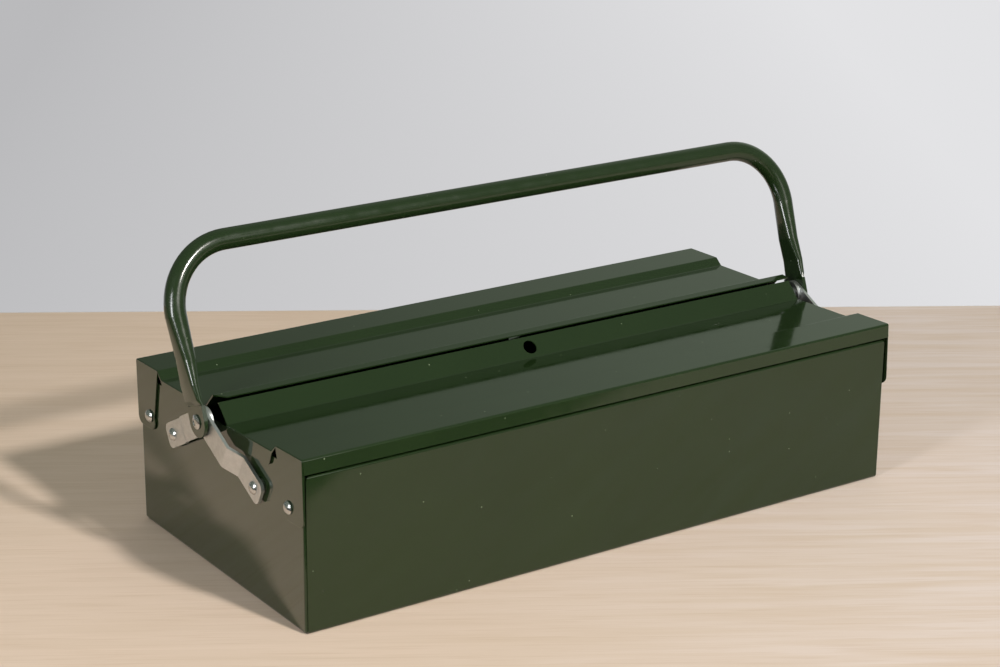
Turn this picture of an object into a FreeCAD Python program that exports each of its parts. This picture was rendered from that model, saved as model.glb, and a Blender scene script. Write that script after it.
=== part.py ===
import FreeCAD, Part
import math
import os

import Sketcher

# Steel toolbox: a folded case, two lids hinged on rivets at the ends, four joggled straps and a bent
# tube handle. Millimetres, +Z up, origin at the centre of the base, +X along the length, -Y the front.

os.makedirs("parts", exist_ok=True)
doc = FreeCAD.newDocument("toolbox")
dims = doc.addObject("Spreadsheet::Sheet", "Dims")

SIZES = [
    ("gauge", 0.8, "steel sheet of case and lids"),
    ("side_gap", 0.3, "between moving pieces and the rivet heads that hold them"),
    ("lid_gap", 0.5, "between end wall and lid"),
    ("fit_gap", 0.05, "radial running fit on every rivet"),
    # case
    ("wall_x", 213.1, "outer face of the end walls"),
    ("panel_y", 99.5, "outer face of front and back panel"),
    ("panel_gap", 1.2, "top of the panels below the lids' long flanges"),
    ("hem_depth", 6.0, "height of the hem at the panel tops"),
    ("hem_width", 3.4, "width over the open hem"),
    ("hem_bend", 1.5, "outer radius of the hem's folds"),
    ("seam_width", 1.3, "panel edge set back from the end wall"),
    ("panel_corner", 3.0, "rounding of the panels' top corners"),
    ("wall_gap", 4.3, "top of the end walls below the lids' flat panels"),
    ("wall_flange", 12.0, "depth of the end walls' flanges"),
    ("flange_drop", 2.3, "top of these flanges below the panel tops"),
    ("wall_bend", 1.3, "outer radius of the end walls' folds"),
    ("bend_gap", 0.2, "inside the base bends, round the end walls' folds"),
    # lid hinges, straps and handle pivot on the end walls
    ("hinge_y", 84.5, "lid hinge axes, each side of the middle"),
    ("hinge_up", 72.0, "height of hinge axes and strap rivets"),
    ("strap_y", 49.0, "strap rivets, each side of the middle"),
    ("pivot_rise", 25.5, "handle axis above the hinge axes"),
    # lid section, measured from its hinge axis: reach inward, rise upward
    ("front_out", 16.5, "front lid: outer face of the long flange, outward"),
    ("rear_out", 16.0, "rear lid: outer face of the long flange, outward"),
    ("lid_band", 32.3, "top of the outer band above the axis"),
    ("lid_skirt", 8.8, "depth of the long flange below the band"),
    ("lid_flare", 0.7, "long flange stands out by this at its lower edge"),
    ("lid_crest", 12.6, "inner edge of the outer band"),
    ("lid_valley", 17.8, "start of the flat panel"),
    ("lid_panel", 27.8, "top of the flat panel above the axis"),
    ("front_base", 70.0, "foot of the front lid's slope"),
    ("front_edge", 79.9, "top edge of the front lid's slope"),
    ("front_ridge", 10.6, "this edge above the flat panel"),
    ("rear_base", 72.5, "foot of the rear lid's slope"),
    ("rear_crest", 82.0, "crest of the rear lid's ridge"),
    ("rear_ridge", 9.5, "this crest above the flat panel"),
    ("lip_edge", 87.65, "front edge of the rear lid's lip"),
    ("lip_drop", 1.0, "lip edge below the crest"),
    ("lid_corner", 1.3, "outer radius of the long edge"),
    ("lid_fold", 1.6, "outer radius of the other folds"),
    ("lid_end_fold", 0.6, "rounding of the folds to the end flanges"),
    ("front_sag", 1.8, "front lid rests turned down, degrees"),
    ("rear_lift", 1.0, "rear lid rests turned up, degrees"),
    # end flanges of the lids
    ("lug_foot", 8.5, "hinge lug below the axis"),
    ("lug_inner", 5.8, "inner edge of the lug beside the axis"),
    ("lug_round", 5.5, "rounding of the lug"),
    ("notch_skin", 0.8, "sheet left over the relief notch, square to the step"),
    ("skirt_start", 20.9, "outer end of the end skirt"),
    ("skirt_drop", 9.8, "depth of the end skirt below the flat panel"),
    ("skirt_end", 67.0, "inner end of the end skirt, low"),
    ("skirt_round", 4.5, "rounding of the skirt's corner"),
    ("lock_bore", 9.1, "diameter of the padlock hole"),
    ("lip_clip", 6.5, "length of the clipped corner of the lip"),
    # fasteners
    ("rivet_shank", 4.8, "shank diameter of the small rivets"),
    ("rivet_head", 7.9, "head diameter of the small rivets"),
    ("rivet_dome", 2.5, "head height of the small rivets"),
    ("rivet_tail", 7.4, "diameter of the upset end"),
    ("tail_rise", 1.6, "height of the upset ends"),
    ("pivot_shank", 6.0, "shank diameter of the pivot rivets"),
    ("pivot_head", 8.6, "head diameter of the pivot rivets"),
    ("pivot_dome", 1.7, "head height of the pivot rivets"),
    ("pivot_tail", 8.4, "upset end of the pivot rivets"),
    ("dimple", 4.0, "diameter of the dimple in the pivot rivets' heads"),
    ("dimple_deep", 0.7, "depth of this dimple"),
    ("head_rim", 0.4, "straight rim of every head"),
    ("spacer", 1.8, "thickness of the strap spacers"),
    ("spacer_width", 11.0, "diameter of the strap spacers"),
    # straps
    ("strap_width", 15.5, "width of the straps"),
    ("strap_thick", 2.0, "thickness of the straps"),
    ("strap_end", 7.9, "strap beyond its rivets"),
    ("strap_corner", 4.2, "rounding of the straps' lower corners"),
    ("strap_bend", 2.6, "outer radius of the joggle's folds"),
    ("outer_joggle", 29.0, "outer strap: joggle starts below the pivot"),
    ("outer_slant", 9.6, "outer strap: length of the joggle"),
    ("inner_joggle", 31.0, "inner strap: joggle starts below the pivot"),
    ("inner_slant", 10.0, "inner strap: length of the joggle"),
    ("inner_shift", 4.0, "inner strap stands out by this at the pivot"),
    # handle, measured from its axis
    ("bar_high", 100.07, "centre line of the bar above the axis"),
    ("leg_x", 226.4, "centre line of the round legs"),
    ("tube", 12.7, "outer diameter of the tube"),
    ("tube_wall", 1.25, "wall of the tube"),
    ("tube_bend", 38.7, "centre line radius of the bends"),
    ("tab_thick", 2.6, "thickness of the pressed tabs"),
    ("tab_width", 18.8, "width of the pressed tabs"),
    ("tab_end", 9.0, "tab runs this far above the axis"),
    ("flat_start", 12.0, "flattened tube starts above the axis"),
    ("flat_width", 18.0, "its width there"),
    ("flat_thick", 4.4, "its thickness there"),
    ("press_up", 21.0, "inner side runs straight up to here"),
    ("press_width", 17.2, "width there"),
    ("press_thick", 5.6, "thickness there"),
    ("waist_up", 36.0, "even taper of the leg ends here"),
    ("waist_width", 15.2, "width there"),
    ("waist_thick", 9.0, "thickness there"),
    ("waist_in", 1.15, "centre line leans inward by this there"),
    ("handle_tilt", 19.6, "handle leans back at rest, degrees"),
    # what follows from the sizes above
    ("base_bend", "=wall_bend + gauge + bend_gap", "outer radius of the long base bends"),
    ("lid_flange", "=lid_band - lid_skirt", "lower edge of the long flange above the axis"),
    ("front_rise", "=lid_panel + front_ridge", "top edge of the front slope above the axis"),
    ("rear_rise", "=lid_panel + rear_ridge", "rear crest above the axis"),
    ("lip_rise", "=rear_rise - lip_drop", "lip edge above the axis"),
    ("notch_top", "=lid_band - notch_skin / cos(atan((lid_band - lid_panel) / (lid_valley - lid_crest)))",
     "top of the relief notch above the axis"),
    ("skirt_low", "=lid_panel - skirt_drop", "lower edge of the end skirt above the axis"),
    ("panel_top", "=hinge_up + lid_flange - panel_gap", "top of front and back panel"),
    ("wall_top", "=hinge_up + lid_panel - wall_gap", "top of the end walls"),
    ("pivot_up", "=hinge_up + pivot_rise", "height of the handle axis"),
]

for row, (alias, value, note) in enumerate(SIZES, start=1):
    dims.set("A%d" % row, alias)
    dims.set("B%d" % row, str(value))
    dims.set("C%d" % row, note)
    dims.setAlias("B%d" % row, alias)
doc.recompute()


def number(expression):
    """Value of an expression over the sheet."""
    result = dims.evalExpression(expression)
    return float(getattr(result, "Value", result))


def bind(thing, **expressions):
    """Bind properties of an object to expressions over the sheet."""
    for prop, expression in expressions.items():
        thing.setExpression(prop, expression)


def new_body(label):
    body = doc.addObject("PartDesign::Body", label)
    body.Label = label
    return body


def sketch_on(body, role, name, offset=None):
    """Sketch on an origin plane of the body, moved along its normal by an expression."""
    sketch = body.newObject("Sketcher::SketchObject", name)
    plane = [item for item in body.Origin.OriginFeatures if item.Role == role][0]
    sketch.AttachmentSupport = [(plane, "")]
    sketch.MapMode = "FlatFace"
    if offset:
        sketch.setExpression(".AttachmentOffset.Base.z", offset)
    doc.recompute()
    return sketch


def turn(before, corner, after):
    """Sense of the turn at a corner: +1 to the left, -1 to the right."""
    one, two = corner - before, after - corner
    return 1.0 if one.x * two.y - one.y * two.x > 0 else -1.0


def rounding(before, corner, after, radius):
    """Tangent points and centre of a rounding at a corner."""
    one = (before - corner).normalize()
    two = (after - corner).normalize()
    half = one.getAngle(two) / 2.0
    middle = (one + two).normalize()
    reach = radius / math.tan(half)
    return corner + one * reach, corner + two * reach, corner + middle * (radius / math.sin(half))


class Drawing:
    """Collects geometry and constraints of one sketch, with the values that drive them."""

    def __init__(self, sketch):
        self.sketch = sketch
        self.rules = []
        self.drives = []

    def add(self, *constraint, drive=None):
        if drive:
            self.drives.append((len(self.rules), drive))
        self.rules.append(Sketcher.Constraint(*constraint))

    def place(self, item, end, across, up):
        """Hold a point at a place given by two expressions."""
        self.add("DistanceX", -1, 1, item, end, number(across), drive=across)
        self.add("DistanceY", -1, 1, item, end, number(up), drive=up)

    def line(self, start, end):
        return self.sketch.addGeometry(Part.LineSegment(start, end), False)

    def arc(self, centre, start, end, sense):
        """Arc between two points, with the numbers of its first and last end."""
        first, last = (start, end) if sense > 0 else (end, start)
        angles = [math.atan2(p.y - centre.y, p.x - centre.x) for p in (first, last)]
        if angles[1] < angles[0]:
            angles[1] += 2 * math.pi
        circle = Part.Circle(centre, FreeCAD.Vector(0, 0, 1), (start - centre).Length)
        item = self.sketch.addGeometry(Part.ArcOfCircle(circle, angles[0], angles[1]), False)
        return (item, 1, 2) if sense > 0 else (item, 2, 1)

    def chain(self, points, radii, closed):
        """Lines through points with tangent arcs at the rounded ones; returns lines and arcs."""
        count = len(points)
        links = count if closed else count - 1
        starts, ends, arcs = list(points), list(points), {}
        for index, radius in enumerate(radii):
            if radius:
                before, after = points[index - 1], points[(index + 1) % count]
                first, last, centre = rounding(before, points[index], after, radius)
                ends[index], starts[index] = first, last
                arcs[index] = (centre, turn(before, points[index], after))
        lines = [self.line(starts[i], ends[(i + 1) % count]) for i in range(links)]
        joined = {}
        for index in range(count):
            if not closed and index in (0, count - 1):
                continue
            before, after = lines[index - 1], lines[index % links]
            if index in arcs:
                centre, sense = arcs[index]
                item, first, last = self.arc(centre, ends[index], starts[index], sense)
                self.add("Tangent", before, 2, item, first)
                self.add("Tangent", item, last, after, 1)
                joined[index] = item
            else:
                self.add("Coincident", before, 2, after, 1)
        return lines, joined

    def corner(self, before, after, across, up, point):
        """Hold the meeting point of two lines at a place given by two expressions."""
        item = self.sketch.addGeometry(Part.Point(point), True)
        self.add("PointOnObject", item, 1, before)
        self.add("PointOnObject", item, 1, after)
        self.place(item, 1, across, up)

    def finish(self):
        self.sketch.addConstraint(self.rules)
        for index, expression in self.drives:
            self.sketch.setExpression("Constraints[%d]" % index, expression)
        doc.recompute()


def outline(sketch, corners):
    """Closed outline; each corner is (across, up) or (across, up, radius) as expressions."""
    drawing = Drawing(sketch)
    points = [FreeCAD.Vector(number(c[0]), number(c[1]), 0) for c in corners]
    radii = [number(c[2]) if len(c) > 2 else None for c in corners]
    lines, arcs = drawing.chain(points, radii, True)
    for index, corner in enumerate(corners):
        if index in arcs:
            drawing.add("Radius", arcs[index], radii[index], drive=corner[2])
            drawing.corner(lines[index - 1], lines[index], corner[0], corner[1], points[index])
        else:
            drawing.place(lines[index], 1, corner[0], corner[1])
    drawing.finish()


def folded_section(sketch, corners, gauge, side):
    """Section of a folded sheet: its face through the corners, the other face off to one side (+1 left)."""
    drawing = Drawing(sketch)
    thick = number(gauge)
    points = [FreeCAD.Vector(number(c[0]), number(c[1]), 0) for c in corners]
    radii = [number(c[2]) if len(c) > 2 else None for c in corners]
    last = len(points) - 1
    lines, arcs = drawing.chain(points, radii, False)

    ways = [(points[i + 1] - points[i]).normalize() for i in range(last)]
    normals = [FreeCAD.Vector(-way.y, way.x, 0) * side for way in ways]
    backs = [points[0] + normals[0] * thick]
    for index in range(1, last):
        half = normals[index - 1] + normals[index]
        backs.append(points[index] + half * (2.0 * thick / half.Length ** 2))
    backs.append(points[last] + normals[-1] * thick)
    back_radii = [None] * len(radii)
    back_drives = {}
    for index in arcs:
        inside = turn(points[index - 1], points[index], points[index + 1]) * side > 0
        sign = "-" if inside else "+"
        back_radii[index] = radii[index] - thick if inside else radii[index] + thick
        back_drives[index] = "%s %s %s" % (corners[index][2], sign, gauge)
    back_lines, back_arcs = drawing.chain(backs, back_radii, False)

    for index in range(last):
        drawing.add("Parallel", lines[index], back_lines[index])
        drawing.add("Distance", back_lines[index], 1, lines[index], thick, drive=gauge)
    for index in range(1, last):
        drawing.add("Radius", arcs[index], radii[index], drive=corners[index][2])
        drawing.add("Radius", back_arcs[index], back_radii[index], drive=back_drives[index])
        drawing.corner(lines[index - 1], lines[index], corners[index][0], corners[index][1], points[index])
    drawing.place(lines[0], 1, corners[0][0], corners[0][1])
    drawing.place(lines[-1], 2, corners[last][0], corners[last][1])
    caps = [drawing.line(backs[0], points[0]), drawing.line(points[last], backs[last])]
    drawing.add("Coincident", caps[0], 2, lines[0], 1)
    drawing.add("Coincident", caps[0], 1, back_lines[0], 1)
    drawing.add("Perpendicular", caps[0], lines[0])
    drawing.add("Coincident", caps[1], 1, lines[-1], 2)
    drawing.add("Coincident", caps[1], 2, back_lines[-1], 2)
    drawing.add("Perpendicular", caps[1], lines[-1])
    drawing.finish()


def pad(body, sketch, name, length, side="One side", backward=False):
    item = body.newObject("PartDesign::Pad", name)
    item.Profile = sketch
    item.SideType = side
    item.Reversed = backward
    bind(item, Length=length)
    doc.recompute()
    return item


def cut_through(body, sketch, name):
    """Cut the sketch through the whole body, both ways."""
    item = body.newObject("PartDesign::Pocket", name)
    item.Profile = sketch
    item.SideType = "Symmetric"
    item.Type = "ThroughAll"
    doc.recompute()
    return item


def round_edges(body, base, name, radius, chosen):
    """Fillet the edges for which chosen(edge) is true."""
    names = ["Edge%d" % i for i, edge in enumerate(base.Shape.Edges, start=1) if chosen(edge)]
    item = body.newObject("PartDesign::Fillet", name)
    item.Base = (base, names)
    bind(item, Radius=radius)
    doc.recompute()
    return item


def circle_on(sketch, across, up, diameter):
    drawing = Drawing(sketch)
    centre = FreeCAD.Vector(number(across), number(up), 0)
    circle = Part.Circle(centre, FreeCAD.Vector(0, 0, 1), number(diameter) / 2.0)
    item = sketch.addGeometry(circle, False)
    drawing.place(item, 3, across, up)
    drawing.add("Diameter", item, number(diameter), drive=diameter)
    drawing.finish()


def placed(body, x, y, z, axes=None):
    """Place a body by expressions; axes are the world directions of its own three axes."""
    if axes:
        matrix = FreeCAD.Matrix()
        for column, axis in enumerate(axes):
            for row in range(3):
                setattr(matrix, "A%d%d" % (row + 1, column + 1), axis[row])
        body.Placement = FreeCAD.Placement(matrix)
    bind(body, **{".Placement.Base.x": x, ".Placement.Base.y": y, ".Placement.Base.z": z})


# ---- case: wrap and end walls -------------------------------------------------------------------

wrap = new_body("case_wrap")
side_edge = "(Dims.wall_x - Dims.seam_width)"
hem_in = "(Dims.panel_y - Dims.hem_width)"
section = sketch_on(wrap, "YZ_Plane", "wrap_section")
folded_section(section, [
    ("-" + hem_in, "Dims.panel_top - Dims.hem_depth"),
    ("-" + hem_in, "Dims.panel_top", "Dims.hem_bend"),
    ("-Dims.panel_y", "Dims.panel_top", "Dims.hem_bend"),
    ("-Dims.panel_y", "0", "Dims.base_bend"),
    ("Dims.panel_y", "0", "Dims.base_bend"),
    ("Dims.panel_y", "Dims.panel_top", "Dims.hem_bend"),
    (hem_in, "Dims.panel_top", "Dims.hem_bend"),
    (hem_in, "Dims.panel_top - Dims.hem_depth"),
], "Dims.gauge", 1)
pad(wrap, section, "wrap_sheet", side_edge + " * 2", "Symmetric")

hem_stop = "(Dims.wall_x - Dims.wall_flange - 4 * Dims.gauge)"
for sense, tag in ((1, "right"), (-1, "left")):
    sign = "" if sense > 0 else "-"
    relief = sketch_on(wrap, "XY_Plane", "hem_relief_" + tag)
    edge = "Dims.panel_y - Dims.gauge"
    outline(relief, [
        (sign + hem_stop, "-(%s)" % edge),
        (sign + side_edge + " * 1.1", "-(%s)" % edge),
        (sign + side_edge + " * 1.1", edge),
        (sign + hem_stop, edge),
    ])
    bay = wrap.newObject("PartDesign::Pocket", "hem_relief_cut_" + tag)
    bay.Profile = relief
    bay.Reversed = True
    bind(relief, **{".AttachmentOffset.Base.z": "Dims.panel_top - Dims.hem_depth - Dims.gauge"})
    bind(bay, Length="Dims.hem_depth * 2")
    doc.recompute()

for sign, tag in (("", "right"), ("-", "left")):
    corner = sketch_on(wrap, "XZ_Plane", "panel_corner_" + tag)
    past = sign + side_edge + " * 1.01"
    back = "%s(%s - Dims.panel_corner * 1.01)" % (sign, side_edge)
    outline(corner, [
        (past, "Dims.panel_top - Dims.panel_corner * 1.01"),
        (sign + side_edge, "Dims.panel_top - Dims.panel_corner * 1.01"),
        (sign + side_edge, "Dims.panel_top", "Dims.panel_corner"),
        (back, "Dims.panel_top"),
        (back, "Dims.panel_top * 1.02"),
        (past, "Dims.panel_top * 1.02"),
    ])
    cut_through(wrap, corner, "panel_corner_cut_" + tag)


def end_wall(label, facing):
    """Folded end wall; facing is +1 for the right end and -1 for the left end."""
    body = new_body(label)
    plate = sketch_on(body, "YZ_Plane", label + "_outline")
    edge = "(Dims.panel_y - Dims.gauge)"
    inner_bend = "(Dims.base_bend - Dims.gauge)"
    outline(plate, [
        ("-" + edge, "Dims.gauge", inner_bend),
        (edge, "Dims.gauge", inner_bend),
        (edge, "Dims.wall_top"),
        ("-" + edge, "Dims.wall_top"),
    ])
    block = pad(body, plate, label + "_block", "Dims.wall_flange", backward=True)
    top = number("Dims.wall_top")

    def outer_rim(item):
        middle = item.CenterOfMass
        return abs(middle.x) < 1e-6 and middle.z < top - 1e-3

    folds = round_edges(body, block, label + "_folds", "Dims.wall_bend", outer_rim)
    open_faces = ["Face%d" % i for i, face in enumerate(folds.Shape.Faces, start=1)
                  if abs(face.CenterOfMass.x + number("Dims.wall_flange")) < 1e-3
                  or abs(face.CenterOfMass.z - top) < 1e-3]
    hollow = body.newObject("PartDesign::Thickness", label + "_sheet")
    hollow.Base = (folds, open_faces)
    hollow.Reversed = True
    hollow.Join = 1
    bind(hollow, Value="Dims.gauge")
    doc.recompute()
    lowered = sketch_on(body, "XZ_Plane", label + "_flange_tops")
    outline(lowered, [
        ("-Dims.wall_flange * 1.1", "Dims.panel_top - Dims.flange_drop"),
        ("-Dims.wall_bend", "Dims.panel_top - Dims.flange_drop"),
        ("-Dims.wall_bend", "Dims.wall_top * 1.1"),
        ("-Dims.wall_flange * 1.1", "Dims.wall_top * 1.1"),
    ])
    cut_through(body, lowered, label + "_flange_top_cut")
    for y, name in (("Dims.hinge_y", "hinge"), ("Dims.strap_y", "strap")):
        for sign in ("", "-"):
            hole = sketch_on(body, "YZ_Plane", "%s_%s_%s" % (label, name, sign or "+"))
            circle_on(hole, sign + y, "Dims.hinge_up", "Dims.rivet_shank + 2 * Dims.fit_gap")
            cut_through(body, hole, "%s_%s_hole_%s" % (label, name, sign or "+"))
    turned = ((1, 0, 0), (0, 1, 0), (0, 0, 1)) if facing > 0 else ((-1, 0, 0), (0, -1, 0), (0, 0, 1))
    placed(body, "%d * Dims.wall_x" % facing, "0", "0", turned)
    return body


walls = [end_wall("end_wall_left", -1), end_wall("end_wall_right", 1)]


# ---- lids ---------------------------------------------------------------------------------------

def lid(label, out, centre_line):
    """One lid in the frame of its hinge axis: reach inward is +Y, rise is +Z, out is the way outward."""
    body = new_body(label)
    section = sketch_on(body, "YZ_Plane", label + "_section")
    folded_section(section, [
        ("-%s - Dims.lid_flare" % out, "Dims.lid_flange"),
        ("-" + out, "Dims.lid_band", "Dims.lid_corner"),
        ("Dims.lid_crest", "Dims.lid_band", "Dims.lid_fold"),
        ("Dims.lid_valley", "Dims.lid_panel", "Dims.lid_fold"),
    ] + centre_line, "Dims.gauge", -1)
    inner = "(Dims.wall_x + Dims.lid_gap)"
    pad(body, section, label + "_sheet", inner + " * 2", "Symmetric")
    for sign in ("", "-"):
        tag = label + ("_right" if sign == "" else "_left")
        flange = sketch_on(body, "YZ_Plane", tag + "_end")
        bind(flange, **{".AttachmentOffset.Base.z": sign + inner})
        outline(flange, [
            ("-" + out, "-Dims.lug_foot", "Dims.lug_round"),
            ("Dims.lug_inner + Dims.lug_foot / 4", "-Dims.lug_foot", "Dims.lug_round"),
            ("Dims.lug_inner", "0"),
            ("Dims.lid_crest", "Dims.notch_top"),
            ("Dims.lid_valley - Dims.gauge / 2", "Dims.lid_panel - 2 * Dims.gauge"),
            ("Dims.skirt_start", "Dims.skirt_low", "Dims.skirt_round"),
            ("Dims.skirt_end", "Dims.skirt_low", "Dims.skirt_round / 2"),
            (centre_line[0][0], "Dims.lid_panel - 2 * Dims.gauge"),
            (centre_line[0][0], centre_line[0][1]),
            ("Dims.lid_valley", "Dims.lid_panel", "Dims.lid_fold"),
            ("Dims.lid_crest", "Dims.lid_band", "Dims.lid_fold"),
            ("-" + out, "Dims.lid_band", "Dims.lid_corner"),
        ])
        plate = pad(body, flange, tag + "_flange", "Dims.gauge", backward=sign == "-")
    outer = number(inner + " + Dims.gauge")
    top = number("Dims.lid_band")

    def fold_edge(item):
        middle = item.CenterOfMass
        return abs(abs(middle.x) - outer) < 1e-3 and abs(middle.z - top) < 1e-3

    folds = round_edges(body, plate, label + "_end_folds", "Dims.lid_end_fold", fold_edge)
    pins = sketch_on(body, "YZ_Plane", label + "_hinge")
    circle_on(pins, "0", "0", "Dims.rivet_shank + 2 * Dims.fit_gap")
    cut_through(body, pins, label + "_hinge_holes")
    return body


def lock_hole(body, label, foot, top, rise):
    """Padlock hole square through the middle of the slope between foot and top."""
    reach = "((%s + %s) / 2)" % (foot, top)
    middle = "((Dims.lid_panel + %s) / 2)" % rise
    angle = "atan2(%s - Dims.lid_panel; %s - %s)" % (rise, top, foot)
    hole = sketch_on(body, "XY_Plane", label + "_lock")
    circle_on(hole, "0", "0", "Dims.lock_bore")
    hole.setExpression(".AttachmentOffset.Base.y", reach)
    hole.setExpression(".AttachmentOffset.Base.z", middle)
    hole.setExpression(".AttachmentOffset.Rotation.Axis.x", "1")
    hole.setExpression(".AttachmentOffset.Rotation.Axis.z", "0")
    hole.setExpression(".AttachmentOffset.Rotation.Angle", angle)
    doc.recompute()
    cut = body.newObject("PartDesign::Pocket", label + "_lock_hole")
    cut.Profile = hole
    cut.SideType = "Symmetric"
    bind(cut, Length="Dims.gauge * 6")
    doc.recompute()


front_lid = lid("front_lid", "Dims.front_out", [
    ("Dims.front_base", "Dims.lid_panel", "Dims.lid_fold"),
    ("Dims.front_edge", "Dims.front_rise"),
])
lock_hole(front_lid, "front_lid", "Dims.front_base", "Dims.front_edge", "Dims.front_rise")

rear_lid = lid("rear_lid", "Dims.rear_out", [
    ("Dims.rear_base", "Dims.lid_panel", "Dims.lid_fold"),
    ("Dims.rear_crest", "Dims.rear_rise", "Dims.lid_fold"),
    ("Dims.lip_edge", "Dims.lip_rise"),
])
lock_hole(rear_lid, "rear_lid", "Dims.rear_base", "Dims.rear_crest", "Dims.rear_rise")
end_x = "(Dims.wall_x + Dims.lid_gap)"
clip = sketch_on(rear_lid, "XY_Plane", "rear_lid_lip_clip")
outline(clip, [
    (end_x + " * 1.02", "Dims.rear_crest"),
    (end_x, "Dims.rear_crest"),
    (end_x + " - Dims.lip_clip", "Dims.lip_edge"),
    (end_x + " - Dims.lip_clip", "Dims.lip_edge * 1.02"),
    (end_x + " * 1.02", "Dims.lip_edge * 1.02"),
])
cut_through(rear_lid, clip, "rear_lid_lip_corner")

for body, y, spin, angle in ((front_lid, "-Dims.hinge_y", 0, "-Dims.front_sag"),
                             (rear_lid, "Dims.hinge_y", 180, "Dims.rear_lift")):
    turned = FreeCAD.Rotation(FreeCAD.Vector(0, 0, 1), spin)
    leaned = FreeCAD.Rotation(FreeCAD.Vector(1, 0, 0), number(angle))
    body.Placement = FreeCAD.Placement(FreeCAD.Vector(), turned.multiply(leaned))
    placed(body, "0", y, "Dims.hinge_up")


# ---- straps -------------------------------------------------------------------------------------

STRAP_LONG = "sqrt(Dims.strap_y ^ 2 + (Dims.pivot_up - Dims.hinge_up) ^ 2)"
OUTER_SHIFT = "(Dims.inner_shift + Dims.strap_thick)"


def strap(label, facing, side, joggle, slant, shift):
    """Joggled strap: +X runs from its rivet to the pivot, +Z points away from the end wall."""
    body = new_body(label)
    section = sketch_on(body, "XZ_Plane", label + "_section")
    folded_section(section, [
        ("-Dims.strap_end", "0"),
        ("%s - %s - %s" % (STRAP_LONG, joggle, slant), "0", "Dims.strap_bend"),
        ("%s - %s" % (STRAP_LONG, joggle), shift, "Dims.strap_bend"),
        ("%s + Dims.strap_end" % STRAP_LONG, shift),
    ], "Dims.strap_thick", 1)
    bar = pad(body, section, label + "_bar", "Dims.strap_width", "Symmetric")
    for end, tag, radius in (("-Dims.strap_end", "low", "Dims.strap_corner"),
                             (STRAP_LONG + " + Dims.strap_end", "high", "Dims.strap_width * 0.499")):
        at_end = number(end)
        bar = round_edges(body, bar, "%s_%s_end" % (label, tag), radius,
                          lambda e: abs(e.CenterOfMass.x - at_end) < 1e-3
                          and abs(abs(e.CenterOfMass.y) - number("Dims.strap_width / 2")) < 1e-3
                          and e.BoundBox.ZLength > 1.0)
    for at, bore, tag in (("0", "Dims.rivet_shank", "rivet"), (STRAP_LONG, "Dims.pivot_shank", "pivot")):
        hole = sketch_on(body, "XY_Plane", "%s_%s" % (label, tag))
        circle_on(hole, at, "0", bore + " + 2 * Dims.fit_gap")
        cut_through(body, hole, "%s_%s_hole" % (label, tag))
    along = FreeCAD.Vector(0, -side * number("Dims.strap_y"), number("Dims.pivot_up - Dims.hinge_up"))
    along.normalize()
    outward = FreeCAD.Vector(facing, 0, 0)
    placed(body, "%d * (Dims.wall_x + Dims.spacer)" % facing, "%d * Dims.strap_y" % side,
           "Dims.hinge_up", (along, outward.cross(along), outward))
    return body


# ---- rivets and spacers -------------------------------------------------------------------------

def rivet(label, facing, x, y, z, grip, shank, head, dome, tail, dimple=None):
    """Domed rivet; its own +Z points out of the head, the head sits on z = 0."""
    body = new_body(label)
    sketch = sketch_on(body, "XZ_Plane", label + "_section")
    drawing = Drawing(sketch)
    corners = [("0", "-(%s) - Dims.tail_rise" % grip), (tail + " / 2", "-(%s) - Dims.tail_rise" % grip),
               (tail + " / 2", "-(%s)" % grip), (shank + " / 2", "-(%s)" % grip), (shank + " / 2", "0"),
               (head + " / 2", "0"), (head + " / 2", "Dims.head_rim"), ("0", dome)]
    points = [FreeCAD.Vector(number(a), number(b), 0) for a, b in corners]
    lines = [drawing.line(points[i], points[i + 1]) for i in range(len(points) - 2)]
    wide, high, rim = points[-2].x, points[-1].y, points[-2].y
    radius = (wide ** 2 + (high - rim) ** 2) / (2 * (high - rim))
    arc, first, last = drawing.arc(FreeCAD.Vector(0, high - radius, 0), points[-2], points[-1], 1)
    stem = drawing.line(points[-1], points[0])
    for before, after in zip(lines, lines[1:]):
        drawing.add("Coincident", before, 2, after, 1)
    drawing.add("Coincident", lines[-1], 2, arc, first)
    drawing.add("Coincident", arc, last, stem, 1)
    drawing.add("Coincident", stem, 2, lines[0], 1)
    for line, (across, up) in zip(lines, corners):
        drawing.place(line, 1, across, up)
    drawing.place(arc, first, corners[-2][0], corners[-2][1])
    drawing.place(stem, 1, "0", dome)
    drawing.add("PointOnObject", arc, 3, -2)
    drawing.finish()
    turned = body.newObject("PartDesign::Revolution", label + "_turned")
    turned.Profile = sketch
    turned.ReferenceAxis = (sketch, ["V_Axis"])
    turned.Angle = 360
    doc.recompute()
    if dimple:
        pit = sketch_on(body, "XY_Plane", label + "_dimple", dome)
        circle_on(pit, "0", "0", dimple)
        sunk = body.newObject("PartDesign::Pocket", label + "_dimple_cut")
        sunk.Profile = pit
        bind(sunk, Length="Dims.dimple_deep")
        doc.recompute()
    placed(body, x, y, z, ((0, facing, 0), (0, 0, 1), (facing, 0, 0)))
    return body


def spacer(label, facing, y):
    body = new_body(label)
    ring = sketch_on(body, "XY_Plane", label + "_ring")
    drawing = Drawing(ring)
    for size in ("Dims.spacer_width", "Dims.rivet_shank + 2 * Dims.fit_gap"):
        circle = Part.Circle(FreeCAD.Vector(), FreeCAD.Vector(0, 0, 1), number(size) / 2.0)
        item = ring.addGeometry(circle, False)
        drawing.add("Coincident", item, 3, -1, 1)
        drawing.add("Diameter", item, number(size), drive=size)
    drawing.finish()
    pad(body, ring, label + "_disc", "Dims.spacer")
    placed(body, "%d * Dims.wall_x" % facing, y, "Dims.hinge_up", ((0, facing, 0), (0, 0, 1), (facing, 0, 0)))
    return body


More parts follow.
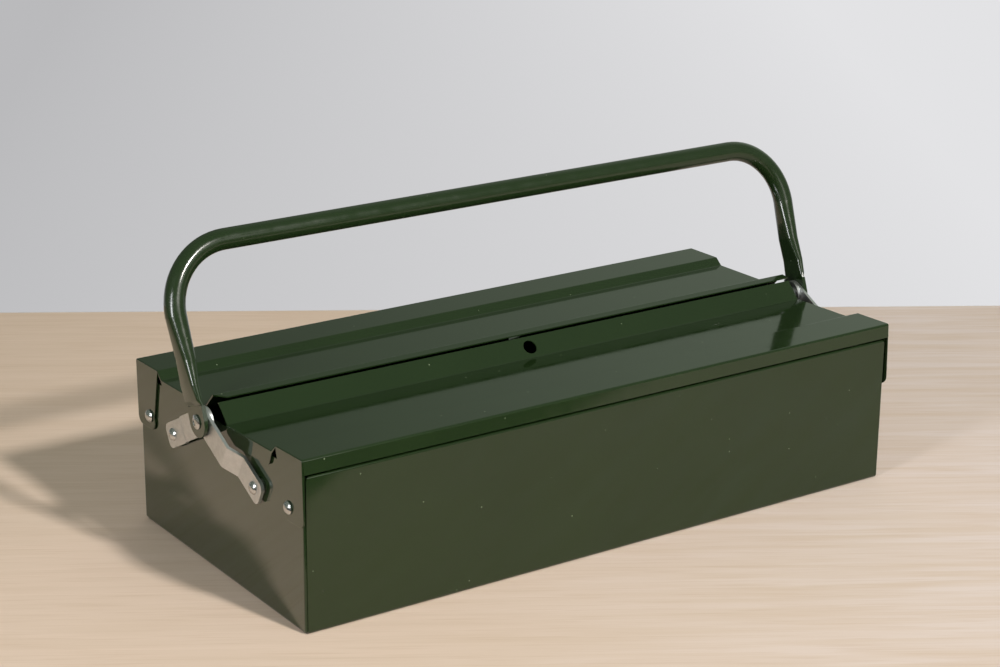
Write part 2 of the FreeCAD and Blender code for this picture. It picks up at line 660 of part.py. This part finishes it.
fittings = []
for facing, end in ((-1, "left"), (1, "right")):
    for side, row in ((-1, "front"), (1, "rear")):
        tag = "%s_%s" % (row, end)
        outer = side < 0
        fittings.append(strap(
            "strap_" + tag, facing, side,
            "Dims.outer_joggle" if outer else "Dims.inner_joggle",
            "Dims.outer_slant" if outer else "Dims.inner_slant",
            OUTER_SHIFT if outer else "Dims.inner_shift"))
        fittings.append(spacer("strap_spacer_" + tag, facing, "%d * Dims.strap_y" % side))
        fittings.append(rivet(
            "strap_rivet_" + tag, facing, "%d * (Dims.wall_x + Dims.spacer + Dims.strap_thick)" % facing,
            "%d * Dims.strap_y" % side, "Dims.hinge_up", "Dims.strap_thick + Dims.spacer + Dims.gauge",
            "Dims.rivet_shank", "Dims.rivet_head", "Dims.rivet_dome", "Dims.rivet_tail"))
        fittings.append(rivet(
            "lid_rivet_" + tag, facing, "%d * (Dims.wall_x + Dims.lid_gap + Dims.gauge + Dims.side_gap)" % facing,
            "%d * Dims.hinge_y" % side, "Dims.hinge_up", "Dims.lid_gap + Dims.side_gap + 2 * Dims.gauge",
            "Dims.rivet_shank", "Dims.rivet_head", "Dims.rivet_dome", "Dims.rivet_tail"))
    fittings.append(rivet(
        "pivot_rivet_" + end, facing,
        "%d * (Dims.wall_x + Dims.spacer + %s + Dims.strap_thick + 2 * Dims.side_gap + Dims.tab_thick)"
        % (facing, OUTER_SHIFT),
        "0", "Dims.pivot_up", "2 * Dims.strap_thick + 2 * Dims.side_gap + Dims.tab_thick",
        "Dims.pivot_shank", "Dims.pivot_head", "Dims.pivot_dome", "Dims.pivot_tail", "Dims.dimple"))


# ---- handle -------------------------------------------------------------------------------------
# The legs go over from a round tube to a flat one and end in pressed tabs, a change of section that is
# skinned through free ovals, so this shape is made from the sheet's values in code.

LIMB = math.radians(84.0)


def oval(x, z, half_width, half_thick):
    """Section of a pressed tube, square to the leg: edge arcs of LIMB either way, flat arcs between them."""
    span = (half_width - half_thick) / (math.sin(LIMB) + math.cos(LIMB) - 1.0)
    edges = []
    for quarter in range(4):
        middle = quarter * math.pi / 2
        if quarter % 2 == 0:
            radius, spread, shift = half_width - span * math.cos(LIMB), LIMB, span * math.cos(LIMB)
        else:
            radius, spread, shift = half_thick + span * math.sin(LIMB), math.pi / 2 - LIMB, -span * math.sin(LIMB)
        centre = FreeCAD.Vector(x + shift * math.sin(middle), shift * math.cos(middle), z)
        edges.append(Part.Arc(*[
            centre + FreeCAD.Vector(radius * math.sin(angle), radius * math.cos(angle), 0)
            for angle in (middle - spread, middle, middle + spread)]).toShape())
    return Part.Wire(edges)


def inner_face():
    """Where the inner face of the tabs lies, outside the upper strap."""
    return number("Dims.wall_x + Dims.spacer + %s + Dims.strap_thick + Dims.side_gap" % OUTER_SHIFT)


def handle_solid(shrink):
    """Tube with flattened legs; shrink is taken off all round for the hollow."""
    radius = number("Dims.tube") / 2
    leg, bend, high = number("Dims.leg_x"), number("Dims.tube_bend"), number("Dims.bar_high")
    spring = high - bend
    slope = math.sqrt(0.5)
    path = Part.Wire([
        Part.Arc(FreeCAD.Vector(-leg, 0, spring),
                 FreeCAD.Vector(-leg + bend * (1 - slope), 0, spring + bend * slope),
                 FreeCAD.Vector(-leg + bend, 0, high)).toShape(),
        Part.LineSegment(FreeCAD.Vector(-leg + bend, 0, high), FreeCAD.Vector(leg - bend, 0, high)).toShape(),
        Part.Arc(FreeCAD.Vector(leg - bend, 0, high),
                 FreeCAD.Vector(leg - bend * (1 - slope), 0, spring + bend * slope),
                 FreeCAD.Vector(leg, 0, spring)).toShape(),
    ])
    solid = path.makePipeShell([oval(-leg, spring, radius - shrink, radius - shrink)], True, False)
    waist_up, waist_wide = number("Dims.waist_up"), number("Dims.waist_width") / 2
    waist_thick, waist_in = number("Dims.waist_thick") / 2, number("Dims.waist_in")
    stations = []
    for share in (0.0, 1.0):
        stations.append((spring + (waist_up - spring) * share, leg - waist_in * share,
                         radius + (waist_wide - radius) * share, radius + (waist_thick - radius) * share))
    for spot in ("press", "flat"):
        up = number("Dims.press_up" if spot == "press" else "Dims.flat_start")
        thick, wide = number("Dims.%s_thick / 2" % spot), number("Dims.%s_width / 2" % spot)
        stations.append((up, inner_face() + thick, wide, thick))
    for sign in (-1, 1):
        wires = [oval(sign * x, z, w - shrink, t - shrink) for z, x, w, t in stations]
        solid = solid.fuse(Part.makeLoft(wires, True, True))
    return solid


def tab(sign):
    """Pressed tab with its shoulder and rivet hole, at one end of the handle."""
    inside = inner_face()
    thick, wide = number("Dims.tab_thick"), number("Dims.tab_width") / 2
    high, low = number("Dims.tab_end"), number("Dims.flat_start")
    flat, flat_wide = number("Dims.flat_thick") / 2, number("Dims.flat_width") / 2
    start = FreeCAD.Vector(inside, -wide, high)
    outline_wire = Part.Wire([
        Part.LineSegment(start, FreeCAD.Vector(inside, -wide, 0)).toShape(),
        Part.Arc(FreeCAD.Vector(inside, -wide, 0), FreeCAD.Vector(inside, 0, -wide),
                 FreeCAD.Vector(inside, wide, 0)).toShape(),
        Part.LineSegment(FreeCAD.Vector(inside, wide, 0), FreeCAD.Vector(inside, wide, high)).toShape(),
        Part.LineSegment(FreeCAD.Vector(inside, wide, high), start).toShape(),
    ])
    plate = Part.Face(outline_wire).extrude(FreeCAD.Vector(thick, 0, 0))
    shoulder = Part.makeLoft([
        oval(inside + flat, low, flat_wide, flat),
        oval(inside + thick / 2, high, wide * 0.99, thick / 2 * 0.99),
    ], True, False)
    solid = plate.fuse(shoulder)
    bore = number("Dims.pivot_shank") / 2 + number("Dims.fit_gap")
    solid = solid.cut(Part.makeCylinder(bore, thick * 3, FreeCAD.Vector(inside - thick, 0, 0),
                                        FreeCAD.Vector(1, 0, 0)))
    return solid if sign > 0 else solid.mirror(FreeCAD.Vector(), FreeCAD.Vector(1, 0, 0))


handle = doc.addObject("Part::Feature", "handle")
handle.Label = "handle"
tube_shape = handle_solid(0.0).cut(handle_solid(number("Dims.tube_wall")))
handle.Shape = tube_shape.fuse([tab(-1), tab(1)]).removeSplitter()
handle.Placement = FreeCAD.Placement(
    FreeCAD.Vector(0, 0, number("Dims.pivot_up")),
    FreeCAD.Rotation(FreeCAD.Vector(1, 0, 0), -number("Dims.handle_tilt")))

# ---- check and write ----------------------------------------------------------------------------

doc.recompute()
for item in doc.Objects:
    if "Invalid" in item.State or "Error" in item.State:
        raise ValueError("object %s is not valid" % item.Name)
pieces = [item for item in doc.Objects if item.TypeId == "PartDesign::Body"] + [handle]
for piece in pieces:
    if piece.Shape.isNull() or not piece.Shape.isValid():
        raise ValueError("shape of %s is not valid" % piece.Label)
    piece.Shape.exportStep("parts/%s.step" % piece.Label)
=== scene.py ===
"""Studio view of a sheet-steel toolbox with two hinged lids and a folding tube handle.

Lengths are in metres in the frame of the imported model: +X along the box, -Y its front, +Z up.
"""

import logging
import math
from dataclasses import dataclass, field
from enum import Enum
from typing import Any, Dict, List, Optional, Sequence, Tuple

import bmesh
import bpy
from mathutils import Matrix, Vector

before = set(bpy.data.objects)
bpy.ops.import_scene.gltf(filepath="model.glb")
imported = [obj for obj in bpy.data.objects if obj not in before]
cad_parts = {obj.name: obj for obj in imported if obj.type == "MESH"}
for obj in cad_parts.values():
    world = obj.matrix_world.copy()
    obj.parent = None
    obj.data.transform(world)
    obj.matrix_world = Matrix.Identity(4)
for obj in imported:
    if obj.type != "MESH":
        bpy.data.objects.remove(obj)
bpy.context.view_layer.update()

LOG = logging.getLogger("toolbox")
MM = 0.001


class End(Enum):
    """The two ends of the box."""

    LEFT = -1
    RIGHT = 1


class Row(Enum):
    """The front and the rear row of fittings at one end."""

    FRONT = -1
    REAR = 1


def linear(colour: str) -> Tuple[float, float, float, float]:
    """Turn an sRGB hex colour into linear values.

    Args:
        colour: Six hex digits, with or without a leading #.

    Returns:
        Linear red, green, blue and an alpha of 1.
    """
    digits = colour.lstrip("#")
    parts = [int(digits[i:i + 2], 16) / 255.0 for i in (0, 2, 4)]
    values = [p / 12.92 if p <= 0.04045 else ((p + 0.055) / 1.055) ** 2.4 for p in parts]
    return values[0], values[1], values[2], 1.0


def add_node(tree: bpy.types.NodeTree, kind: str, links: Optional[Dict[Any, Any]] = None,
             inputs: Optional[Dict[Any, Any]] = None, **settings: Any) -> bpy.types.Node:
    """Add a node, set it up and link its inputs.

    Args:
        tree: Node tree that gets the node.
        kind: Blender's name of the node type.
        links: Output socket for each input name or number.
        inputs: Value for each input name or number.
        settings: Properties of the node.

    Returns:
        The new node.
    """
    node = tree.nodes.new(kind)
    for name, value in settings.items():
        setattr(node, name, value)
    for name, value in (inputs or {}).items():
        node.inputs[name].default_value = value
    for name, socket in (links or {}).items():
        tree.links.new(socket, node.inputs[name])
    return node


def start_material(name: str) -> Tuple[bpy.types.Material, bpy.types.NodeTree, bpy.types.Node]:
    """Make an empty material with a principled shader.

    Args:
        name: Name of the material.

    Returns:
        The material, its node tree and its shader node.
    """
    material = bpy.data.materials.new(name)
    material.use_nodes = True
    tree = material.node_tree
    tree.nodes.clear()
    shader = add_node(tree, "ShaderNodeBsdfPrincipled")
    add_node(tree, "ShaderNodeOutputMaterial", links={"Surface": shader.outputs[0]})
    return material, tree, shader


@dataclass(frozen=True)
class StovedEnamel:
    """Gloss enamel, sprayed on sheet steel and stoved.

    The eye sees an even deep green with mirror-like reflections that swim a little, because the film
    has a faint orange peel and the thin sheet under it is not quite flat. Here and there a grain of
    dust or a tiny chip shows as a pale speck.
    """

    name: str = "stoved_enamel_deep_green"
    colour: str = "#1d2d15"
    shade: str = "#192812"
    speck: str = "#7f8a72"
    speck_mm: float = 0.55
    speck_apart_mm: float = 8.0
    roughness: float = 0.085
    peel_mm: float = 3.2
    swim_mm: float = 55.0
    end_film: float = 0.75

    def build(self) -> bpy.types.Material:
        """Return the finished material."""
        material, tree, shader = start_material(self.name)
        place = add_node(tree, "ShaderNodeTexCoord").outputs["Object"]
        drift = add_node(tree, "ShaderNodeTexNoise", links={"Vector": place},
                         inputs={"Scale": 1.0 / (self.swim_mm * MM), "Detail": 2.0})
        tint = add_node(tree, "ShaderNodeMix", data_type="RGBA",
                        links={"Factor": drift.outputs["Fac"]},
                        inputs={"A": linear(self.colour), "B": linear(self.shade)})
        cells = add_node(tree, "ShaderNodeTexVoronoi", links={"Vector": place},
                         inputs={"Scale": 1.0 / (self.speck_apart_mm * MM)})
        size = self.speck_mm / self.speck_apart_mm
        dot = add_node(tree, "ShaderNodeMapRange", links={"Value": cells.outputs["Distance"]},
                       inputs={"From Min": size * 0.6, "From Max": size, "To Min": 1.0, "To Max": 0.0})
        pick = add_node(tree, "ShaderNodeSeparateColor", links={"Color": cells.outputs["Color"]})
        some = add_node(tree, "ShaderNodeMapRange", links={"Value": pick.outputs["Red"]},
                        inputs={"From Min": 0.70, "From Max": 0.95, "To Max": 0.7})
        specks = add_node(tree, "ShaderNodeMath", operation="MULTIPLY",
                          links={0: dot.outputs["Result"], 1: some.outputs["Result"]})
        marked = add_node(tree, "ShaderNodeMix", data_type="RGBA",
                          links={"Factor": specks.outputs[0], "A": tint.outputs["Result"]},
                          inputs={"B": linear(self.speck)})
        tree.links.new(marked.outputs["Result"], shader.inputs["Base Color"])
        peel = add_node(tree, "ShaderNodeTexNoise", links={"Vector": place},
                        inputs={"Scale": 1.0 / (self.peel_mm * MM), "Detail": 1.0})
        dust = add_node(tree, "ShaderNodeTexNoise", links={"Vector": place},
                        inputs={"Scale": 1.0 / (9.0 * MM), "Detail": 5.0})
        rough = add_node(tree, "ShaderNodeMapRange", links={"Value": dust.outputs["Fac"]},
                         inputs={"From Min": 0.35, "From Max": 0.75, "To Min": self.roughness * 0.8,
                                 "To Max": self.roughness * 1.5})
        tree.links.new(rough.outputs["Result"], shader.inputs["Roughness"])
        slow = add_node(tree, "ShaderNodeBump", links={"Height": drift.outputs["Fac"]},
                        inputs={"Strength": 0.08, "Distance": 1.0 * MM})
        fine = add_node(tree, "ShaderNodeBump",
                        links={"Height": peel.outputs["Fac"], "Normal": slow.outputs["Normal"]},
                        inputs={"Strength": 0.02, "Distance": 0.06 * MM})
        tree.links.new(fine.outputs["Normal"], shader.inputs["Normal"])
        faces = add_node(tree, "ShaderNodeTexCoord").outputs["Normal"]
        split = add_node(tree, "ShaderNodeSeparateXYZ", links={"Vector": faces})
        ends = add_node(tree, "ShaderNodeMath", operation="ABSOLUTE", links={0: split.outputs["X"]})
        film = add_node(tree, "ShaderNodeMapRange", links={"Value": ends.outputs[0]},
                        inputs={"From Min": 0.6, "From Max": 0.95, "To Min": 0.0, "To Max": self.end_film})
        tree.links.new(film.outputs["Result"], shader.inputs["Coat Weight"])
        shader.inputs["Coat Roughness"].default_value = 0.06
        shader.inputs["IOR"].default_value = 1.5
        return material


@dataclass(frozen=True)
class ZincPlate:
    """Bright zinc, electroplated on blanked and pressed steel.

    The eye sees a pale cool metal, slightly clouded by the plating bath, with fine handling scratches
    and soft, broken highlights.
    """

    name: str
    colour: str = "#e3e5e6"
    cloud: str = "#c2c4c5"
    roughness: float = 0.37
    cloud_mm: float = 3.5
    scratch_mm: float = 0.35

    def build(self) -> bpy.types.Material:
        """Return the finished material."""
        material, tree, shader = start_material(self.name)
        place = add_node(tree, "ShaderNodeTexCoord").outputs["Object"]
        cloud = add_node(tree, "ShaderNodeTexNoise", links={"Vector": place},
                         inputs={"Scale": 1.0 / (self.cloud_mm * MM), "Detail": 4.0, "Roughness": 0.62})
        tint = add_node(tree, "ShaderNodeMix", data_type="RGBA",
                        links={"Factor": cloud.outputs["Fac"]},
                        inputs={"A": linear(self.colour), "B": linear(self.cloud)})
        tree.links.new(tint.outputs["Result"], shader.inputs["Base Color"])
        stretch = add_node(tree, "ShaderNodeMapping", links={"Vector": place},
                           inputs={"Scale": (1.0, 0.08, 1.0), "Rotation": (0.5, 0.2, 0.3)})
        scratch = add_node(tree, "ShaderNodeTexNoise", links={"Vector": stretch.outputs["Vector"]},
                           inputs={"Scale": 1.0 / (self.scratch_mm * MM), "Detail": 2.0})
        rough = add_node(tree, "ShaderNodeMapRange", links={"Value": scratch.outputs["Fac"]},
                         inputs={"From Min": 0.3, "From Max": 0.7, "To Min": self.roughness - 0.08,
                                 "To Max": self.roughness + 0.12})
        tree.links.new(rough.outputs["Result"], shader.inputs["Roughness"])
        relief = add_node(tree, "ShaderNodeBump", links={"Height": scratch.outputs["Fac"]},
                          inputs={"Strength": 0.12, "Distance": 0.05 * MM})
        tree.links.new(relief.outputs["Normal"], shader.inputs["Normal"])
        shader.inputs["Metallic"].default_value = 1.0
        return material


@dataclass(frozen=True)
class StudioFloor:
    """Pale birch-coloured table board in front of a light grey wall sweep, both matt.

    The eye sees a warm pale ground under the box and a cool grey behind a straight edge; the grey carries
    painted light, shading from dim on the left to bright on the right.
    """

    name: str = "matt_board_and_sweep"
    board: str = "#d9c4b3"
    board_right: str = "#dccec9"
    grain: str = "#ceb8a4"
    pore: str = "#bda085"
    sweep_painted_dim: str = "#bababc"
    sweep_painted_bright: str = "#e3e3e5"
    edge_point: Tuple[float, float] = (-0.125, 0.520)
    edge_turn: float = -31.46
    grain_mm: float = 9.0
    pore_mm: float = 1.6

    def build(self) -> bpy.types.Material:
        """Return the finished material."""
        material, tree, shader = start_material(self.name)
        place = add_node(tree, "ShaderNodeTexCoord").outputs["Object"]
        along = math.radians(self.edge_turn)
        edge = add_node(tree, "ShaderNodeMapping", links={"Vector": place}, vector_type="TEXTURE",
                        inputs={"Location": (*self.edge_point, 0.0), "Rotation": (0.0, 0.0, along)})
        split = add_node(tree, "ShaderNodeSeparateXYZ", links={"Vector": edge.outputs["Vector"]})
        # painted light falloff: the wall sweep goes from dim on the left to bright on the right
        drift = add_node(tree, "ShaderNodeMapRange", links={"Value": split.outputs["X"]},
                         inputs={"From Min": -0.1, "From Max": 0.84})
        sweep = add_node(tree, "ShaderNodeMix", data_type="RGBA",
                         links={"Factor": drift.outputs["Result"]},
                         inputs={"A": linear(self.sweep_painted_dim), "B": linear(self.sweep_painted_bright)})
        behind = add_node(tree, "ShaderNodeMapRange", links={"Value": split.outputs["Y"]},
                          inputs={"From Min": 0.0, "From Max": 0.002})
        stretch = add_node(tree, "ShaderNodeMapping", links={"Vector": edge.outputs["Vector"]},
                           inputs={"Scale": (0.06, 1.0, 1.0)})
        grain = add_node(tree, "ShaderNodeTexNoise", links={"Vector": stretch.outputs["Vector"]},
                         inputs={"Scale": 1.0 / (self.grain_mm * MM), "Detail": 4.0, "Distortion": 0.6})
        aside = add_node(tree, "ShaderNodeMapRange", links={"Value": split.outputs["X"]},
                         inputs={"From Min": 0.30, "From Max": 0.70})
        ground_tone = add_node(tree, "ShaderNodeMix", data_type="RGBA",
                               links={"Factor": aside.outputs["Result"]},
                               inputs={"A": linear(self.board), "B": linear(self.board_right)})
        faint = add_node(tree, "ShaderNodeMapRange", links={"Value": grain.outputs["Fac"]},
                         inputs={"From Min": 0.35, "From Max": 0.75, "To Max": 0.7})
        figure = add_node(tree, "ShaderNodeMix", data_type="RGBA",
                          links={"Factor": faint.outputs["Result"], "A": ground_tone.outputs["Result"]},
                          inputs={"B": linear(self.grain)})
        thin = add_node(tree, "ShaderNodeMapping", links={"Vector": edge.outputs["Vector"]},
                        inputs={"Scale": (0.03, 1.0, 1.0)})
        streak = add_node(tree, "ShaderNodeTexNoise", links={"Vector": thin.outputs["Vector"]},
                          inputs={"Scale": 1.0 / (self.pore_mm * MM), "Detail": 3.0, "Distortion": 0.4})
        fine = add_node(tree, "ShaderNodeMapRange", links={"Value": streak.outputs["Fac"]},
                        inputs={"From Min": 0.52, "From Max": 0.75, "To Max": 0.3})
        wood = add_node(tree, "ShaderNodeMix", data_type="RGBA",
                        links={"Factor": fine.outputs["Result"], "A": figure.outputs["Result"]},
                        inputs={"B": linear(self.pore)})
        ground = add_node(tree, "ShaderNodeMix", data_type="RGBA",
                          links={"Factor": behind.outputs["Result"], "A": wood.outputs["Result"],
                                 "B": sweep.outputs["Result"]})
        tree.links.new(ground.outputs["Result"], shader.inputs["Base Color"])
        shader.inputs["Roughness"].default_value = 0.75
        shader.inputs["Specular IOR Level"].default_value = 0.15
        path = add_node(tree, "ShaderNodeLightPath")
        seen = add_node(tree, "ShaderNodeMath", operation="MAXIMUM",
                        links={0: path.outputs["Is Camera Ray"], 1: path.outputs["Is Glossy Ray"]})
        also = add_node(tree, "ShaderNodeMath", operation="MAXIMUM",
                        links={0: seen.outputs[0], 1: path.outputs["Is Transmission Ray"]})
        mask = add_node(tree, "ShaderNodeMath", operation="MULTIPLY",
                        links={0: also.outputs[0], 1: behind.outputs["Result"]})
        plain = add_node(tree, "ShaderNodeEmission", links={"Color": sweep.outputs["Result"]},
                         inputs={"Strength": 1.0})
        both = add_node(tree, "ShaderNodeMixShader",
                        links={0: mask.outputs[0], 1: shader.outputs[0], 2: plain.outputs[0]})
        tree.links.new(both.outputs[0], tree.nodes["Material Output"].inputs["Surface"])
        return material


@dataclass(frozen=True)
class BlackCard:
    """Black matt card, a painted dark reflection that stands in for the unlit room beyond the table's front
    edge: the eye never sees it, only its dark mirror image in the enamel.
    """

    name: str = "painted_dark_reflection_card"
    colour: str = "#101010"

    def build(self) -> bpy.types.Material:
        """Return the finished material."""
        material, _, shader = start_material(self.name)
        shader.inputs["Base Color"].default_value = linear(self.colour)
        shader.inputs["Roughness"].default_value = 0.9
        return material


def dress(node: str, material: bpy.types.Material) -> None:
    """Give a carried-over node its finish.

    Args:
        node: Name of the node.
        material: Finish for all of it.
    """
    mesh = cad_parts[node].data
    mesh.materials.clear()
    mesh.materials.append(material)


@dataclass
class Case:
    """The folded case: wrap and two end walls."""

    enamel: bpy.types.Material
    nodes: Tuple[str, ...] = ("case_wrap", "end_wall_left", "end_wall_right")

    def build(self) -> List[str]:
        """Dress the case and return the names of its pieces."""
        for node in self.nodes:
            dress(node, self.enamel)
        return list(self.nodes)


@dataclass
class Lids:
    """The two lids that meet in the padlock ridge."""

    enamel: bpy.types.Material
    nodes: Tuple[str, ...] = ("front_lid", "rear_lid")

    def build(self) -> List[str]:
        """Dress the lids and return the names of their pieces."""
        for node in self.nodes:
            dress(node, self.enamel)
        return list(self.nodes)


@dataclass
class Handle:
    """The bent tube with its pressed ends."""

    enamel: bpy.types.Material

    def build(self) -> List[str]:
        """Dress the handle and return the names of its pieces."""
        dress("handle", self.enamel)
        return ["handle"]


@dataclass
class EndFittings:
    """Straps, spacers and rivets of one end."""

    end: End
    strap: bpy.types.Material
    rivet: bpy.types.Material

    def build(self) -> List[str]:
        """Dress the fittings and return the names of their pieces."""
        side = self.end.name.lower()
        names = ["pivot_rivet_" + side]
        dress(names[0], self.rivet)
        for row in Row:
            tag = "%s_%s" % (row.name.lower(), side)
            for part, finish in (("strap_", self.strap), ("strap_spacer_", self.rivet),
                                 ("strap_rivet_", self.rivet), ("lid_rivet_", self.rivet)):
                dress(part + tag, finish)
                names.append(part + tag)
        return names


@dataclass
class Studio:
    """Floor, light and camera."""

    floor: bpy.types.Material
    card: bpy.types.Material
    card_start: float = 0.285
    card_size: Tuple[float, float] = (2.4, 1.0)
    azimuth: float = -34.505
    elevation: float = 18.807
    roll: float = 0.555
    aside: float = -12.749
    above: float = 103.267
    distance: float = 1520.34
    focal_mm: float = 86.36
    room: float = 0.31
    ceiling: float = 0.26

    def lay_floor(self) -> None:
        """Lay the pale floor."""
        mesh = bpy.data.meshes.new("floor")
        grid = bmesh.new()
        bmesh.ops.create_grid(grid, x_segments=8, y_segments=8, size=6.0)
        grid.to_mesh(mesh)
        grid.free()
        sheet = bpy.data.objects.new("floor", mesh)
        mesh.materials.append(self.floor)
        bpy.context.scene.collection.objects.link(sheet)

    def lay_card(self) -> None:
        """Lay the black card in front of the table, out of the picture, that the flanges and the bar mirror as
        a painted dark reflection of the unlit room beyond the table's edge.
        """
        mesh = bpy.data.meshes.new("card")
        grid = bmesh.new()
        bmesh.ops.create_grid(grid, x_segments=1, y_segments=1, size=0.5)
        grid.to_mesh(mesh)
        grid.free()
        card = bpy.data.objects.new("card", mesh)
        mesh.materials.append(self.card)
        turn = math.radians(self.azimuth)
        reach = self.card_start + self.card_size[1] / 2
        card.scale = (*self.card_size, 1.0)
        card.rotation_euler.z = turn
        card.location = (math.sin(turn) * reach, -math.cos(turn) * reach, 0.002)
        # painted dark reflection: the card shows only in glossy rays, in place of the unlit room beyond the
        # table
        card.visible_camera = False
        card.visible_diffuse = False
        card.visible_shadow = False
        bpy.context.scene.collection.objects.link(card)

    def add_lamp(self, name: str, place: Sequence[float], size: Tuple[float, float], power: float,
                 colour: str, spread: float = 180.0) -> bpy.types.Object:
        """Add one softbox that faces the box.

        Args:
            name: Name of the lamp.
            place: Its place.
            size: Its width and height.
            power: Its power in watts.
            colour: Its colour.
            spread: Angle in degrees to which its grid holds the light.

        Returns:
            The lamp.
        """
        data = bpy.data.lights.new(name, "AREA")
        data.shape = "RECTANGLE"
        data.size, data.size_y = size
        data.energy = power
        data.color = linear(colour)[:3]
        data.spread = math.radians(spread)
        lamp = bpy.data.objects.new(name, data)
        lamp.location = Vector(place)
        lamp.rotation_euler = (Vector((0, 0, 0.06)) - lamp.location).to_track_quat("-Z", "Y").to_euler()
        bpy.context.scene.collection.objects.link(lamp)
        return lamp

    def light(self) -> None:
        """Set up the room's dim light and the softboxes."""
        scene = bpy.context.scene
        world = bpy.data.worlds.new("studio")
        scene.world = world
        world.use_nodes = True
        tree = world.node_tree
        tree.nodes.clear()
        where = add_node(tree, "ShaderNodeTexCoord").outputs["Generated"]
        turn = math.radians(self.azimuth)
        aside = add_node(tree, "ShaderNodeVectorMath", operation="DOT_PRODUCT", links={0: where},
                         inputs={1: (math.cos(turn), math.sin(turn), 0.0)})
        wall = add_node(tree, "ShaderNodeMapRange", links={"Value": aside.outputs["Value"]},
                        inputs={"From Min": -0.12, "From Max": 0.34, "To Min": 0.17, "To Max": 0.66})
        split = add_node(tree, "ShaderNodeSeparateXYZ", links={"Vector": where})
        rise = add_node(tree, "ShaderNodeMapRange", links={"Value": split.outputs["Z"]},
                        inputs={"From Min": 0.45, "From Max": 0.9})
        behind = add_node(tree, "ShaderNodeMapRange", links={"Value": split.outputs["Y"]},
                          inputs={"From Min": -0.1, "From Max": 0.3})
        low = add_node(tree, "ShaderNodeMix", data_type="FLOAT",
                       links={"Factor": behind.outputs["Result"], "B": wall.outputs["Result"]},
                       inputs={"A": self.room})
        level = add_node(tree, "ShaderNodeMix", data_type="FLOAT",
                         links={"Factor": rise.outputs["Result"], "A": low.outputs["Result"]},
                         inputs={"B": self.ceiling})
        room = add_node(tree, "ShaderNodeBackground", inputs={"Color": linear("#f0fde9")},
                        links={"Strength": level.outputs["Result"]})
        add_node(tree, "ShaderNodeOutputWorld", links={"Surface": room.outputs[0]})
        self.add_lamp("key_softbox", (0.37, -2.35, 1.84), (0.22, 0.22), 28.8, "#fffaf4", 110.0)
        self.add_lamp("front_reflector", (0.33, -1.45, 0.55), (0.45, 0.5), 1.5, "#fffaf4")
        glow = self.add_lamp("backdrop_glow", (0.7, 1.2, 0.75), (1.4, 0.9), 3.4, "#ffecf4")
        glow.visible_glossy = False
        self.add_lamp("left_strip", (-1.08, -0.41, 0.50), (0.21, 0.46), 0.80, "#fbfbff", 60.0)

    def place_camera(self) -> None:
        """Place the camera at the solved view."""
        turn, lift, tip = (math.radians(v) for v in (self.azimuth, self.elevation, self.roll))
        back = Vector((math.sin(turn) * math.cos(lift), -math.cos(turn) * math.cos(lift), math.sin(lift)))
        right = Vector((math.cos(turn), math.sin(turn), 0.0))
        up = back.cross(right)
        across = right * math.cos(tip) + up * math.sin(tip)
        high = up * math.cos(tip) - right * math.sin(tip)
        data = bpy.data.cameras.new("camera")
        data.sensor_width = 36.0
        data.lens = self.focal_mm
        data.clip_end = 50.0
        camera = bpy.data.objects.new("camera", data)
        place = (across * self.aside + high * self.above + back * self.distance) * MM
        camera.matrix_world = Matrix.Translation(place) @ Matrix((across, high, back)).transposed().to_4x4()
        bpy.context.scene.collection.objects.link(camera)
        bpy.context.scene.camera = camera

    def build(self) -> None:
        """Build the floor, the light and the camera."""
        self.lay_floor()
        self.lay_card()
        self.light()
        self.place_camera()
        bpy.context.scene.view_settings.view_transform = "Standard"


def main() -> None:
    """Build the toolbox piece by piece and report each."""
    logging.basicConfig(level=logging.INFO, format="%(name)s: %(message)s")
    enamel = StovedEnamel().build()
    tube_enamel = StovedEnamel("stoved_enamel_on_bent_tube", roughness=0.19).build()
    strap_zinc = ZincPlate("zinc_plated_strap_steel").build()
    rivet_zinc = ZincPlate("zinc_plated_rivet_steel", colour="#dcdddd", roughness=0.18).build()
    assemblies = [Case(enamel), Lids(enamel), Handle(tube_enamel)]
    assemblies += [EndFittings(end, strap_zinc, rivet_zinc) for end in End]
    for assembly in assemblies:
        for piece in assembly.build():
            LOG.info("%s: %s", type(assembly).__name__, piece)
    Studio(StudioFloor().build(), BlackCard().build()).build()


if __name__ == "__main__":
    main()
